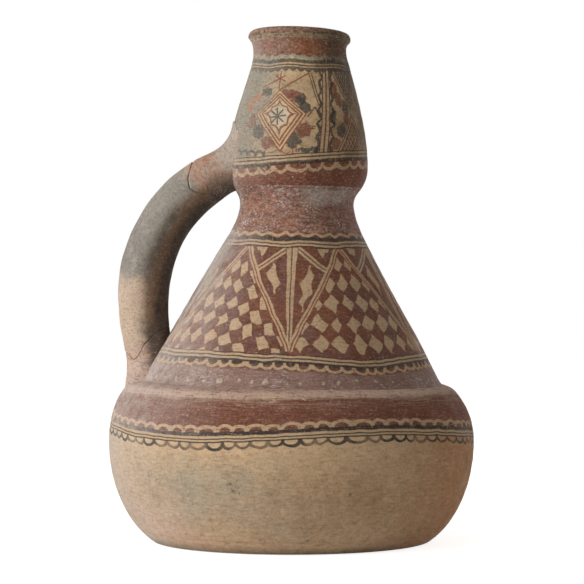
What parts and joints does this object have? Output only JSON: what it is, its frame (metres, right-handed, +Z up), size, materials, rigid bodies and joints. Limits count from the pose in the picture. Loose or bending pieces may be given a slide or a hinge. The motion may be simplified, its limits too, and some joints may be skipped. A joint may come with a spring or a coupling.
{
  "type": "pottery jug",
  "caption": "Hand-built terracotta jug with a wide belly, conical shoulder, waisted neck, swollen cup, rolled lip and one loop handle.",
  "frame": {"origin": "middle of the flat base, on the surface the jug stands on", "axes": "+Z up through the mouth, -X towards the handle, -Y towards the painted front"},
  "size_m": [0.2628, 0.2628, 0.3694],
  "materials": {
    "bare_clay": "matt, burnished buff terracotta",
    "red_slip": "satin, burnished red slip, painted and worn",
    "smoked_clay": "matt terracotta greyed by the fire"
  },
  "bodies": {
    "root": {"base_slab": "bare_clay", "corner_coil": "bare_clay", "lower_belly": "bare_clay", "shoulder": "red_slip", "cone": "red_slip", "neck": "red_slip", "cup": "red_slip", "collar": "red_slip", "lip": "red_slip", "handle_upper_root": "smoked_clay", "handle_grip": "smoked_clay", "handle_lower_root": "bare_clay"}
  },
  "joints": []
}
